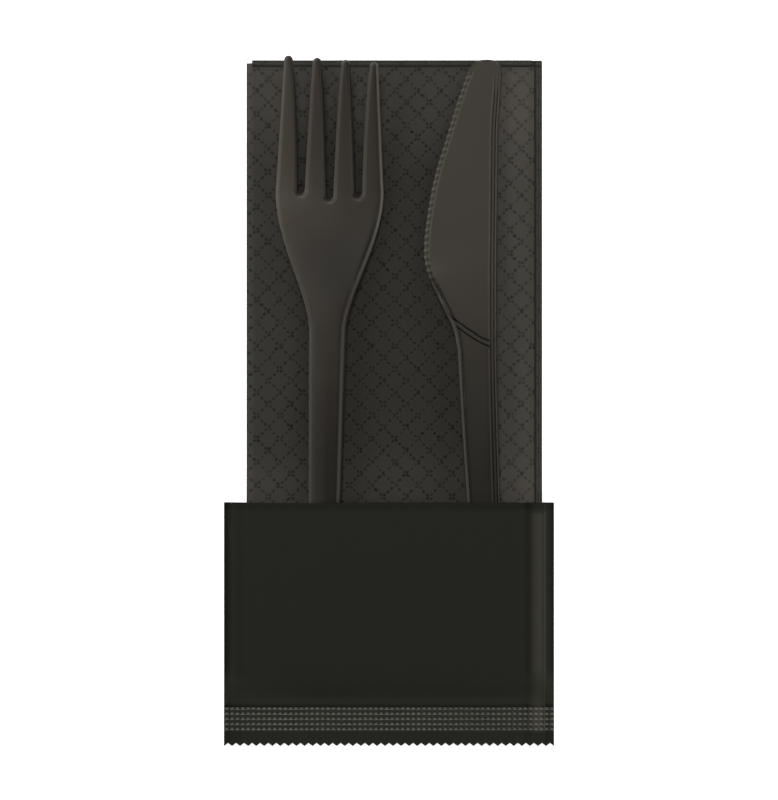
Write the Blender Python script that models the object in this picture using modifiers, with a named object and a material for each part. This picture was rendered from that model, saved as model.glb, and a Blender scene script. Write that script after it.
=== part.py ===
# Cutlery kit: a half-height film pouch that holds a folded napkin, a fork and a knife.
# The kit lies flat on its back, +Z is up and +Y points to the fork's tines.
# The origin is under the middle of the kit, on the surface that it lies on. All sizes are in metres.

import math

import bmesh
import bpy
import numpy as np

# Pouch: a flat tube of film with an open mouth, a crimped seal and a zigzag cut.
pouch_height = 0.0683
pouch_film = 0.00015
seal_height = 0.0113
seal_lap = 0.0006
zigzag_pitch = 0.00228
zigzag_depth = 0.0009

# Napkin: a sheet folded to four leaves that lie on each other.
napkin_width = 0.0825
napkin_length = 0.165
napkin_leaf = 0.00055
leaf_gap = 0.00015
top_leaf_setback = 0.0021
top_leaf_drop = 0.0007
sag_start = 0.0015
sag_length = 0.0075
napkin_above_seal = 0.0152
film_left_of_napkin = 0.0064
film_right_of_napkin = 0.0035

# Fork: one moulding, a dished head with four tines and a handle like an upturned trough.
fork_length = 0.1697
fork_head_width = 0.0298
fork_tip_spread = 0.0278
fork_neck_width = 0.0101
fork_butt_width = 0.0077
tine_length = 0.0376
tine_root_width = 0.0048
tine_tip_width = 0.0029
tine_step = 0.00045
shoulder_length = 0.0395
fork_wall = 0.0012
fork_handle_height = 0.0027
edge_drop = 0.0004
fork_draft = 0.00095
fork_crown = 0.00045
tine_rise = 0.0065
fork_dish = 0.0009
neck_rise = 0.0020
bowl_below_root = 0.0040
slot_round = 0.0012
fork_from_napkin_left = 0.0219
fork_lean = 0.7

# Knife: one moulding, a toothed blade with a ribbed back and a panelled handle.
knife_length = 0.1695
blade_length = 0.0800
blade_width = 0.0201
knife_neck_width = 0.0109
knife_butt_width = 0.0076
knife_wall = 0.0012
knife_handle_height = 0.0025
knife_draft = 0.0007
edge_thickness = 0.0005
bevel_width = 0.0014
tooth_pitch = 0.00192
tooth_depth = 0.0004
rim_width = 0.0012
rim_height = 0.0005
groove_width = 0.0003
heel_length = 0.0120
blade_crown = 0.00012
under_arch = 0.00006
spine_width = 0.0020
knife_from_napkin_right = 0.0127
knife_butt_shift = 0.0028
tip_flare = 0.0011

# Clearances: touching pieces keep these gaps.
rest_gap = 0.0003
foot_gap = 0.0001
film_gap = 0.0004
fold_gap = 0.00006
fork_above_seal = 0.0113
knife_above_seal = 0.0106

seal_thickness = 2 * pouch_film + fold_gap
napkin_stack = 4 * napkin_leaf + 3 * leaf_gap
napkin_lift = pouch_film + rest_gap
kit_bottom = -(fork_length + fork_above_seal + seal_height) / 2
seal_line = kit_bottom + seal_height
mouth_line = kit_bottom + pouch_height
napkin_bottom = seal_line + napkin_above_seal
pouch_width = film_left_of_napkin + napkin_width + film_right_of_napkin
napkin_left = -pouch_width / 2 + film_left_of_napkin
napkin_right = napkin_left + napkin_width
fork_butt = seal_line + fork_above_seal
knife_butt = seal_line + knife_above_seal
handles_end = min(fork_butt, knife_butt)
fork_x = napkin_left + fork_from_napkin_left
knife_spine_x = napkin_right - knife_from_napkin_right


def clear_scene():
    for item in list(bpy.data.objects):
        bpy.data.objects.remove(item, do_unlink=True)


def new_collection(name, hidden=False):
    made = bpy.data.collections.new(name)
    bpy.context.scene.collection.children.link(made)
    made.hide_render = hidden
    return made


def plastic(name, colour, roughness):
    made = bpy.data.materials.new(name)
    made.use_nodes = True
    shader = made.node_tree.nodes["Principled BSDF"]
    shader.inputs["Base Color"].default_value = (*colour, 1.0)
    shader.inputs["Roughness"].default_value = roughness
    shader.inputs["Metallic"].default_value = 0.0
    return made


def ease(value):
    value = min(max(value, 0.0), 1.0)
    return value * value * (3 - 2 * value)


def mix(first, second, share):
    return first + (second - first) * share


def bent_grid(name, columns, rows, place, keep, collection):
    """A grid whose point in column i and row j goes to place(i, j); keep(i, j) says which faces stay."""
    work = bmesh.new()
    bmesh.ops.create_grid(work, x_segments=columns, y_segments=rows, size=1.0)
    spot = {}
    for point in work.verts:
        i = round((point.co.x + 1) / 2 * columns)
        j = round((point.co.y + 1) / 2 * rows)
        spot[point] = (i, j)
    gone = []
    for face in work.faces:
        i = min(spot[point][0] for point in face.verts)
        j = min(spot[point][1] for point in face.verts)
        if not keep(i, j):
            gone.append(face)
    bmesh.ops.delete(work, geom=gone, context="FACES")
    for point, (i, j) in spot.items():
        if point.is_valid:
            point.co = place(i, j)
    bmesh.ops.remove_doubles(work, verts=work.verts, dist=0.000001)
    mesh = bpy.data.meshes.new(name)
    work.to_mesh(mesh)
    work.free()
    made = bpy.data.objects.new(name, mesh)
    collection.objects.link(made)
    return made


def thicken(item, thickness, offset):
    solid = item.modifiers.new("Thickness", "SOLIDIFY")
    solid.thickness = thickness
    solid.offset = offset
    solid.use_even_offset = True
    return solid


def moulding(name, columns, rows, top, under, keep, collection):
    """A closed piece between two faces of one grid: top(i, j) is above and under(i, j) is below."""

    def flat(i, j):
        return (i / columns, j / rows, 0.0)

    made = bent_grid(name, columns, rows, flat, keep, collection)
    work = bmesh.new()
    work.from_mesh(made.data)
    raised = bmesh.ops.extrude_face_region(work, geom=work.faces[:], use_keep_orig=True)
    upper = {item for item in raised["geom"] if isinstance(item, bmesh.types.BMVert)}
    for point in work.verts:
        i = round(point.co.x * columns)
        j = round(point.co.y * rows)
        point.co = top(i, j) if point in upper else under(i, j)
    bmesh.ops.recalc_face_normals(work, faces=work.faces[:])
    work.to_mesh(made.data)
    work.free()
    return made


def everything(i, j):
    return True


# Napkin: the sheet runs from its upper free edge round the outer left fold, back along the
# bottom, round the right fold and round the inner left fold to its other free edge.
leaf_pitch = napkin_leaf + leaf_gap
arc_steps = 4
run_steps = 2


def napkin_path():
    """Points (x, z, leaf) along the folded sheet, seen from its open end."""
    left = napkin_left + napkin_leaf / 2
    right = napkin_right - napkin_leaf / 2
    level = [napkin_leaf / 2 + leaf_pitch * n for n in range(4)]
    outer = 1.5 * leaf_pitch
    inner = 0.5 * leaf_pitch
    path = []
    for n in range(run_steps):
        x = mix(napkin_right - top_leaf_setback, left + outer, n / run_steps)
        path.append((x, level[3], 0.0))
    for n in range(arc_steps + 1):
        turn = math.pi * n / arc_steps
        x = left + outer - outer * math.sin(turn)
        z = (level[0] + level[3]) / 2 + outer * math.cos(turn)
        path.append((x, z, n / arc_steps))
    for n in range(1, run_steps):
        path.append((mix(left + outer, right - inner, n / run_steps), level[0], 1.0))
    for n in range(arc_steps + 1):
        turn = math.pi * n / arc_steps
        x = right - inner + inner * math.sin(turn)
        z = (level[0] + level[1]) / 2 - inner * math.cos(turn)
        path.append((x, z, 1.0))
    for n in range(1, run_steps):
        path.append((mix(right - inner, left + outer, n / run_steps), level[1], 1.0))
    for n in range(arc_steps + 1):
        turn = math.pi * n / arc_steps
        x = left + outer - inner * math.sin(turn)
        z = (level[1] + level[2]) / 2 - inner * math.cos(turn)
        path.append((x, z, 1.0))
    for n in range(1, run_steps + 1):
        x = mix(left + outer, napkin_right - 1.5 * top_leaf_setback, n / run_steps)
        path.append((x, level[2], 1.0))
    return path


def napkin_sag(y):
    """How far the napkin stays lifted by the pouch's back wall at y."""
    return napkin_lift * (1 - ease((y - mouth_line - sag_start) / sag_length))


def napkin_rows():
    """Stations along the napkin, as shares of its length, with more where it sags."""
    first = (mouth_line + sag_start - napkin_bottom) / napkin_length
    last = first + sag_length / napkin_length
    rows = [0.0, first / 2]
    rows += [mix(first, last, n / 5) for n in range(6)]
    rows += [mix(last, 1.0, n / 4) for n in range(1, 5)]
    return rows


napkin_stations = napkin_rows()


def make_napkin(collection):
    path = napkin_path()

    def place(i, j):
        x, z, leaf = path[i]
        top = napkin_bottom + napkin_length - top_leaf_drop * (1 - leaf)
        y = mix(napkin_bottom, top, napkin_stations[j])
        return (x, y, z + napkin_sag(y))

    made = bent_grid(
        "napkin", len(path) - 1, len(napkin_stations) - 1, place, everything, collection
    )
    thicken(made, napkin_leaf, 0.0)
    made.data.materials.append(plastic("Napkin tissue", (0.034, 0.032, 0.028), 0.95))
    return made


# Fork: 18 points across. In the head they are three for each tine and two inside each slot.
tine_count = 4
fork_across = 3 * tine_count + 2 * (tine_count - 1)
handle_rows = 9
shoulder_rows = 9
tine_rows = 9


def tine_share(n):
    """For point n across the fork: (tine, side from -1 to 1), or (None, share of the slot)."""
    group, place = divmod(n, 5)
    if place < 3:
        return group, place - 1
    return None, (place - 2) / 3


def head_x(n, width, tine):
    """Where point n lies across the head, when each tine is `tine` wide."""
    pitch = (width - tine) / (tine_count - 1)
    group, side = tine_share(n)
    if group is not None:
        return -(width - tine) / 2 + pitch * group + side * tine / 2
    group = n // 5
    slot = pitch - tine
    return -(width - tine) / 2 + pitch * group + tine / 2 + slot * side


def handle_x(n, width, inset):
    """Where point n lies across the handle: the outer points are the side walls' feet."""
    half = width / 2 - inset
    if n == 0:
        return -half
    if n == fork_across - 1:
        return half
    return mix(-(half - fork_draft), half - fork_draft, (n - 1) / (fork_across - 3))


def fork_curve(y):
    """Height of the fork's upper face along its length."""
    root = fork_length - tine_length
    neck = root - shoulder_length
    low = root - bowl_below_root
    floor = fork_wall + edge_drop
    if y >= low:
        share = (y - low) / (fork_length - low)
        return floor + tine_rise * share**1.8
    if y >= neck:
        share = (low - y) / (low - neck)
        return mix(floor, fork_handle_height + neck_rise, ease(share))
    share = (neck - y) / neck
    return fork_handle_height + neck_rise * (1 - ease(share))


def fork_place(i, j, inset):
    """(x, y, spread, half width) of point i in row j; spread is 0 in the handle and 1 in the head."""
    root = fork_length - tine_length
    neck = root - shoulder_length
    group, side = tine_share(i)
    if j <= handle_rows:
        share = j / handle_rows
        y = neck * share
        width = mix(fork_butt_width, fork_neck_width, share)
        if j == 0:
            width *= 0.60
        elif j == 1:
            y = fork_butt_width * 0.28
            width *= 0.95
        elif j == 2:
            y = fork_butt_width * 0.28 + 2 * fork_wall
        return handle_x(i, width, inset), y, 0.0, width / 2
    if j <= handle_rows + shoulder_rows:
        share = (j - handle_rows) / shoulder_rows
        y = neck + shoulder_length * share
        spread = (1 - math.cos(math.pi * share)) / 2
        width = mix(fork_neck_width, fork_head_width, spread)
        x = mix(handle_x(i, width, inset), head_x(i, width, tine_root_width), spread)
        if j == handle_rows + shoulder_rows and group is None:
            y -= slot_round
        return x, y, spread, width / 2
    last = handle_rows + shoulder_rows + tine_rows
    share = min((j - handle_rows - shoulder_rows) / (tine_rows - 2), 1.0)
    tip = fork_length - tine_step * group
    y = mix(root, tip - tine_tip_width * 0.9, share)
    tine = mix(tine_root_width, tine_tip_width, share)
    if j == last - 1:
        y = tip - tine * 0.35
        tine *= 0.80
    if j == last:
        y = tip
        tine *= 0.42
    head = mix(fork_head_width, fork_tip_spread, share)
    pitch = (head - tine_root_width) / (tine_count - 1)
    x = -(head - tine_root_width) / 2 + pitch * group + side * tine / 2
    return x, y, 1.0, head / 2


def fork_top(i, j):
    x, y, spread, half = fork_place(i, j, 0.0)
    across = min(abs(x) / half, 1.0)
    z = fork_curve(y)
    z += mix(fork_crown * (1 - across**2), fork_dish * across**2, spread)
    if i in (0, fork_across - 1):
        z -= mix(fork_handle_height - foot_gap, edge_drop, spread)
    elif j > handle_rows + shoulder_rows and tine_share(i)[1] in (-1, 1):
        z -= edge_drop
    return (x, y, z)


def fork_under(i, j):
    spread = fork_place(i, j, 0.0)[2]
    x, y = fork_place(i, j, fork_wall * (1 - spread))[:2]
    top = fork_top(i, j)[2]
    if i in (0, fork_across - 1):
        return (x, y, mix(top, top - fork_wall, spread))
    if j <= 1:
        return (x, y, fork_curve(y) - fork_handle_height + foot_gap)
    return (x, y, top - fork_wall)


def fork_faces(i, j):
    in_slot = i % 5 in (2, 3, 4)
    return not (in_slot and j >= handle_rows + shoulder_rows)


def make_fork(collection):
    rows = handle_rows + shoulder_rows + tine_rows
    made = moulding(
        "fork", fork_across - 1, rows, fork_top, fork_under, fork_faces, collection
    )
    run = fork_length - tine_length - bowl_below_root
    pitch = math.atan2(napkin_lift, run)
    made.rotation_euler = (-pitch, 0.0, -math.radians(fork_lean))
    made.location = (fork_x, fork_butt, napkin_lift + napkin_stack + rest_gap)
    made.data.materials.append(plastic("Fork plastic", (0.040, 0.038, 0.034), 0.42))
    return made


# Knife: 11 points across, from the cutting edge to the back.
blade_belly = [
    (0.000, 0.227),
    (0.003, 0.262),
    (0.011, 0.304),
    (0.025, 0.352),
    (0.070, 0.432),
    (0.140, 0.530),
    (0.263, 0.683),
    (0.402, 0.850),
    (0.535, 0.954),
    (0.643, 0.999),
    (0.685, 1.000),
    (0.724, 0.971),
    (0.795, 0.868),
    (0.874, 0.717),
    (0.930, 0.607),
    (1.000, 0.550),
]
tip_tuck = (0.0, 0.012, 0.052, 0.095, 0.130)
knife_across = 11
teeth_start = 0.055
teeth_end = 0.84


def blade_left(share):
    """The blade's width at a share of its length from the tip, as a share of its full width."""
    shares = np.array([point[0] for point in blade_belly])
    widths = np.array([point[1] for point in blade_belly])
    slopes = np.gradient(widths, shares)
    n = int(np.clip(np.searchsorted(shares, share) - 1, 0, len(shares) - 2))
    step = shares[n + 1] - shares[n]
    t = (share - shares[n]) / step
    first = (1 + 2 * t) * (1 - t) ** 2 * widths[n] + t * (1 - t) ** 2 * step * slopes[n]
    second = t**2 * (3 - 2 * t) * widths[n + 1] + t**2 * (t - 1) * step * slopes[n + 1]
    return float(first + second)


def knife_rows():
    """Stations from the butt to the tip, with two for each tooth."""
    neck = knife_length - blade_length
    turn = knife_butt_width * 0.28
    rows = [0.0, turn, turn + 2 * knife_wall]
    rows += [neck * share for share in (0.2, 0.4, 0.6, 0.8, 0.93, 1.0)]
    rows += [neck + blade_length * share for share in (0.03, 0.065, 0.10, 0.13)]
    first = knife_length - blade_length * teeth_end
    last = knife_length - blade_length * teeth_start
    count = max(4, round((last - first) / tooth_pitch * 1.07)) * 2
    rows += [mix(first, last, n / count) for n in range(count + 1)]
    rows += [knife_length - blade_length * share for share in (0.041, 0.025, 0.011, 0.003, 0.0)]
    return rows


knife_stations = knife_rows()
first_tooth_row = 13
last_tooth_row = len(knife_stations) - 6


def knife_row(j):
    """(y, left, right, blade) of row j; blade is 0 in the handle and 1 in the blade."""
    y = knife_stations[j]
    neck = knife_length - blade_length
    last = len(knife_stations) - 1
    if y < neck:
        share = y / neck
        width = mix(knife_butt_width, knife_neck_width, share)
        right = knife_butt_shift * (1 - share) ** 1.35
        if j == 0:
            right -= knife_butt_width * 0.20
            width *= 0.60
        elif j == 1:
            right -= knife_butt_width * 0.025
            width *= 0.95
        return y, right - width, right, 0.0
    from_tip = (knife_length - y) / blade_length
    blade = ease((y - neck) / heel_length)
    right = tip_flare * ease(1 - from_tip / 0.28)
    if j >= last - 4:
        right -= blade_width * tip_tuck[j - last + 4]
    left = -blade_width * blade_left(from_tip)
    return y, left, right, blade


def knife_top(i, j):
    y, left, right, blade = knife_row(j)
    room = min(1.0, (right - left) / knife_butt_width)
    edge = mix(knife_draft, bevel_width, blade) * room
    rim = mix(rim_width, groove_width, blade) * room
    step = groove_width * room
    back = (spine_width + knife_draft) * room
    start = left + edge + rim + step
    end = right - back - step
    tooth = 0.0
    if first_tooth_row <= j <= last_tooth_row and (j - first_tooth_row) % 2 == 1:
        tooth = tooth_depth
    spots = [left + tooth, left + edge, left + edge + rim]
    spots += [mix(start, end, share) for share in (0.0, 0.33, 0.67, 1.0)]
    spots += [end + step, right - (back + knife_draft * room) / 2]
    spots += [right - knife_draft * room, right]
    floor = mix(knife_handle_height, knife_wall, blade)
    rib = floor + rim_height
    left_rim = floor + rim_height * (1 - blade)
    left_foot = mix(foot_gap, edge_thickness, blade)
    right_foot = mix(foot_gap, knife_wall, blade)
    crown = blade_crown * blade
    heights = [left_foot, left_rim, left_rim, floor, floor + crown, floor + crown, floor]
    heights += [rib, rib, rib, right_foot]
    return (spots[i], y, heights[i])


def knife_under(i, j):
    y, left, right, blade = knife_row(j)
    x = knife_top(i, j)[0]
    inset = knife_wall * (1 - blade)
    if i == 0:
        return (x + inset, y, mix(foot_gap, 0.0, blade))
    if i == knife_across - 1:
        return (x - inset, y, mix(foot_gap, 0.0, blade))
    first = left + knife_draft + knife_wall
    last = right - knife_draft - knife_wall
    x = mix(mix(first, last, (i - 1) / (knife_across - 3)), x, blade)
    if j <= 1:
        return (x, y, foot_gap)
    hollow = knife_handle_height - knife_wall
    arch = 4 * under_arch * (i - 1) * (knife_across - 2 - i) / (knife_across - 3) ** 2
    return (x, y, mix(hollow, 0.0, blade) + arch)


def make_knife(collection):
    rows = len(knife_stations) - 1
    made = moulding(
        "knife", knife_across - 1, rows, knife_top, knife_under, everything, collection
    )
    pitch = math.atan2(napkin_lift, knife_length - (mouth_line - knife_butt))
    rise = math.tan(pitch) * (mouth_line - knife_butt)
    made.rotation_euler = (-pitch, 0.0, 0.0)
    height = napkin_lift + napkin_stack + rest_gap + rise
    made.location = (knife_spine_x, knife_butt, height)
    made.data.materials.append(plastic("Knife plastic", (0.046, 0.043, 0.038), 0.42))
    return made


# Pouch: a tube of film round the napkin and the two handles, joined to a sealed band.
contents_top = napkin_lift + napkin_stack + rest_gap + fork_handle_height
contents_top += fork_crown + neck_rise * 0.5


def pouch_front():
    """Corner points (x, z) of the front film's middle, from the left fold to the right one."""
    stack = napkin_lift + napkin_stack + film_gap + pouch_film / 2
    over = contents_top + film_gap + pouch_film / 2
    knife_top = napkin_lift + napkin_stack + rest_gap + knife_handle_height
    knife_top += rim_height + film_gap + pouch_film / 2 + 1.2 * napkin_lift
    half = pouch_width / 2 - pouch_film / 2
    fold = (pouch_film + fold_gap) / 2
    flat = 1.5 * pouch_film + fold_gap
    knife_right = knife_spine_x + knife_butt_shift
    return [
        (-half + fold, pouch_film / 2),
        (-half, pouch_film + fold_gap / 2),
        (-half + fold, flat),
        (-half + 4 * fold, flat),
        (napkin_left - film_gap, stack - 0.75 * film_gap),
        (napkin_left + 3 * film_gap, stack + film_gap),
        (fork_x - fork_neck_width / 2 - film_gap, over - 1.5 * film_gap),
        (fork_x - fork_neck_width * 0.25, over),
        (fork_x + fork_neck_width * 0.35, over),
        (knife_spine_x - knife_neck_width * 0.95, knife_top + 0.5 * film_gap),
        (knife_right - 1.5 * film_gap, knife_top),
        (knife_right + 1.25 * film_gap, knife_top - 1.75 * film_gap),
        (napkin_right - film_gap, stack + 0.5 * film_gap),
        (napkin_right + 1.25 * film_gap, stack - 2 * film_gap),
        (half - 3 * fold, flat),
        (half - fold, flat),
        (half, pouch_film + fold_gap / 2),
        (half - fold, pouch_film / 2),
    ]


# Each station is a share of the way and a share of the film's height: first from the mouth
# to the ends of the handles, then from there to the seal.
along_handles = [(0.0, 1.0), (0.45, 1.0), (0.90, 1.0), (1.0, 0.98)]
down_to_seal = [(0.32, 0.80), (0.62, 0.44), (0.86, 0.13), (1.0, 0.0)]


def make_pouch(collection, cutters):
    front = pouch_front()
    back = [(mix(front[-1][0], front[0][0], n / 4), pouch_film / 2) for n in range(1, 5)]
    loop = front + back
    flat = 1.5 * pouch_film + fold_gap
    rows = [(mix(mouth_line, handles_end, share), height) for share, height in along_handles]
    inside = seal_line - seal_lap
    rows += [(mix(handles_end, inside, share), height) for share, height in down_to_seal]

    def place(i, j):
        x, z = loop[i]
        y, height = rows[j]
        if 2 < i < len(front) - 3:
            z = mix(flat, z, height)
        if j == len(rows) - 1:
            x -= math.copysign(fold_gap / 2, x)
            z = mix(z, seal_thickness / 2, 0.25)
        return (x, y, z)

    made = bent_grid("pouch", len(loop) - 1, len(rows) - 1, place, everything, collection)
    thicken(made, pouch_film, 0.0)

    teeth = round(pouch_width / zigzag_pitch)
    outline = [(-pouch_width / 2, seal_line), (-pouch_width / 2, kit_bottom)]
    for n in range(teeth):
        x = -pouch_width / 2 + pouch_width * (n + 0.5) / teeth
        outline.append((x, kit_bottom + zigzag_depth))
        outline.append((x + pouch_width * 0.5 / teeth, kit_bottom))
    outline.append((pouch_width / 2, seal_line))
    work = bmesh.new()
    corners = [work.verts.new((x, y, 0.0)) for x, y in outline]
    raised = bmesh.ops.extrude_face_region(work, geom=[work.faces.new(corners)], use_keep_orig=True)
    for point in raised["geom"]:
        if isinstance(point, bmesh.types.BMVert):
            point.co.z = seal_thickness
    bmesh.ops.recalc_face_normals(work, faces=work.faces[:])
    mesh = bpy.data.meshes.new("seal band")
    work.to_mesh(mesh)
    work.free()
    band = bpy.data.objects.new("seal band", mesh)
    cutters.objects.link(band)
    band.hide_render = True
    band.display_type = "WIRE"
    join = made.modifiers.new("Seal", "BOOLEAN")
    join.operation = "UNION"
    join.solver = "EXACT"
    join.object = band
    made.data.materials.append(plastic("Pouch film", (0.018, 0.019, 0.015), 0.35))
    return made


clear_scene()
kit = new_collection("Cutlery kit")
helpers = new_collection("Helpers", hidden=True)
make_pouch(kit, helpers)
make_napkin(kit)
make_fork(kit)
make_knife(kit)
for piece in kit.objects:
    piece.data.shade_smooth()
    piece.data.set_sharp_from_angle(angle=math.radians(30))
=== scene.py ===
import math

import bmesh
import bpy
import numpy as np
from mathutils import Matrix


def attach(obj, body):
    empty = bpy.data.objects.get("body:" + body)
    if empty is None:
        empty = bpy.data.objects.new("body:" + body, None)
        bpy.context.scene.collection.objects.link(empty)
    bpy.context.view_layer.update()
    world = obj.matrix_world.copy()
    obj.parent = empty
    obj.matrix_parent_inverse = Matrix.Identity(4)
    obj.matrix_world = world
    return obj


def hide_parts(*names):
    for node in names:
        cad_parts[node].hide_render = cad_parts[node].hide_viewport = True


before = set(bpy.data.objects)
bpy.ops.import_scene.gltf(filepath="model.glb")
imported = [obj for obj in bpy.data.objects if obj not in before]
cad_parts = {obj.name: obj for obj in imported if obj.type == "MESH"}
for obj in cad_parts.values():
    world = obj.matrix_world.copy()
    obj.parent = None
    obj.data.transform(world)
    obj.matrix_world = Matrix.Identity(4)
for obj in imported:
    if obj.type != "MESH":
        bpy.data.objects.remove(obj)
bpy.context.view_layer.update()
mm = 0.001

# Cutlery kit, lying flat and seen from straight above. Each piece is built in millimetres in
# its own frame and laid in place by its points, so every finished object sits at the origin.


def ease(value):
    value = np.clip(value, 0.0, 1.0)
    return value * value * (3 - 2 * value)


def mix(first, second, share):
    return first + (second - first) * share


def bell(value, middle, width):
    return np.exp(-(((value - middle) / width) ** 2))


def buttTaper(y, width):
    # share of a handle's width near its round end, from 0.35 at the very end to 1
    rise = np.clip(y / (width * 0.42), 0, 1)
    return mix(0.35, 1.0, np.sqrt(np.clip(1 - (1 - rise) ** 2, 0, 1)))


def turned(points, pitch, lean=0.0):
    # the far end tips down by pitch and leans to the right by lean, both in radians
    x, y, z = points.T
    y, z = y * math.cos(pitch) + z * math.sin(pitch), z * math.cos(pitch) - y * math.sin(pitch)
    x, y = x * math.cos(lean) + y * math.sin(lean), y * math.cos(lean) - x * math.sin(lean)
    return np.stack([x, y, z], 1)


def newCollection(name):
    made = bpy.data.collections.new(name)
    bpy.context.scene.collection.children.link(made)
    return made


kit = newCollection("cutleryKit")
studio = newCollection("studio")


def meshPiece(name, points, faces, sharp=40, paintedLightShade=None):
    # points are in metres, and the painted light and shade runs from -1, shade, to 1, light, for
    # the first points, 0 for the rest
    mesh = bpy.data.meshes.new(name)
    mesh.from_pydata([tuple(point) for point in points], [], [tuple(face) for face in faces])
    if paintedLightShade is not None:
        values = np.zeros(len(points), np.float32)
        values[:paintedLightShade.size] = np.clip(paintedLightShade.ravel(), -1, 1)
        mesh.attributes.new("paintedLightShade", "FLOAT", "POINT").data.foreach_set("value", values)
    work = bmesh.new()
    work.from_mesh(mesh)
    bmesh.ops.remove_doubles(work, verts=work.verts, dist=0.000002)
    bmesh.ops.dissolve_degenerate(work, edges=work.edges, dist=0.000001)
    bmesh.ops.recalc_face_normals(work, faces=work.faces)
    work.to_mesh(mesh)
    work.free()
    mesh.shade_smooth()
    mesh.set_sharp_from_angle(angle=math.radians(sharp))
    made = bpy.data.objects.new(name, mesh)
    kit.objects.link(made)
    return made


def shellFaces(keep, columns, rows):
    # faces of an upper and a lower grid, with walls round every free edge between them
    count = columns * rows
    faces, edges = [], {}
    for i in range(columns - 1):
        for j in range(rows - 1):
            if not keep[i, j]:
                continue
            k = i * rows + j
            ring = [k, k + rows, k + rows + 1, k + 1]
            faces.append(ring)
            faces.append([count + n for n in reversed(ring)])
            for a, b in zip(ring, ring[1:] + ring[:1]):
                if (b, a) in edges:
                    del edges[(b, a)]
                else:
                    edges[(a, b)] = True
    for a, b in edges:
        faces.append([b, a, count + a, count + b])
    return faces, np.array(list(edges))


def twoFaces(x, y, upper, lower):
    # the points of the upper grid, then those of the lower one
    return np.stack([np.append(x, x), np.append(y, y), np.append(upper, lower)], 1)


def rimDistance(spots, segments):
    # distance of each spot (x, y) to the nearest rim segment, and how far that rim faces right
    near = np.full(len(spots), 1e9)
    facing = np.zeros(len(spots))
    first, last = segments[:, 0], segments[:, 1]
    along = last - first
    size = np.maximum((along**2).sum(1), 1e-12)
    side = along[:, 1] / np.sqrt(size)
    for start in range(0, len(spots), 2000):
        part = spots[start:start + 2000, None, :]
        share = np.clip(((part - first) * along).sum(2) / size, 0, 1)
        gap = np.sqrt(((part - first - share[..., None] * along) ** 2).sum(2))
        best = gap.argmin(1)
        near[start:start + 2000] = gap[np.arange(len(best)), best]
        facing[start:start + 2000] = side[best]
    return near, facing


# shader maths: a class that wraps a socket, so that expressions add their own Math nodes
class Wire:
    def __init__(self, tree, socket=None):
        self.tree = tree
        self.socket = socket

    def node(self, kind, settings=None, sockets=None, out=0):
        made = self.tree.nodes.new(kind)
        for key, value in (settings or {}).items():
            setattr(made, key, value)
        for key, value in (sockets or {}).items():
            if isinstance(value, Wire):
                self.tree.links.new(value.socket, made.inputs[key])
            else:
                made.inputs[key].default_value = value
        return Wire(self.tree, made.outputs[out])

    def maths(self, operation, first, second=0.0):
        return self.node("ShaderNodeMath", {"operation": operation}, {0: first, 1: second})

    def __add__(self, other):
        return self.maths("ADD", self, other)

    def __mul__(self, other):
        return self.maths("MULTIPLY", self, other)

    def __sub__(self, other):
        return self.maths("SUBTRACT", self, other)

    def __rsub__(self, other):
        return self.maths("SUBTRACT", other, self)

    def __truediv__(self, other):
        return self.maths("DIVIDE", self, other)

    def atLeast(self, other):
        return self.maths("MAXIMUM", self, other)

    def atMost(self, other):
        return self.maths("MINIMUM", self, other)

    def over(self, low, high):
        # 0 below low, 1 above high, smooth between
        sockets = {"Value": self, "From Min": low, "From Max": high}
        return self.node("ShaderNodeMapRange", {"interpolation_type": "SMOOTHSTEP"}, sockets)

    def band(self, start, full, fade, end):
        # 1 between full and fade, 0 outside start and end
        return self.over(start, full) * (1 - self.over(fade, end))

    def apart(self):
        split = self.node("ShaderNodeSeparateXYZ", {}, {0: self})
        return [Wire(self.tree, part) for part in split.socket.node.outputs]

    def noise(self, scale, detail, roughness=0.5):
        # noise at this place
        sockets = {"Vector": self, "Scale": scale, "Detail": detail, "Roughness": roughness}
        return self.node("ShaderNodeTexNoise", {}, sockets)

    def bump(self, strength, distance):
        # this height as a bump, with its distance in millimetres
        sockets = {"Strength": strength, "Distance": distance * mm, "Height": self}
        return self.node("ShaderNodeBump", {}, sockets)

    def blend(self, first, second):
        # self is the share of the second colour
        sockets = {0: self, 6: first, 7: second}
        return self.node("ShaderNodeMix", {"data_type": "RGBA"}, sockets, out=2)


def newMaterial(name):
    made = bpy.data.materials.new(name)
    made.use_nodes = True
    shader = made.node_tree.nodes["Principled BSDF"]
    return made, Wire(made.node_tree), shader


def join(wire, shader, socket):
    wire.tree.links.new(wire.socket, shader.inputs[socket])


def settle(shader, values):
    for socket, value in values.items():
        shader.inputs[socket].default_value = value


def rgb(red, green, blue):
    return (red, green, blue, 1.0)


def scaled(colour, share):
    return rgb(*[share * part for part in colour])


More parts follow.
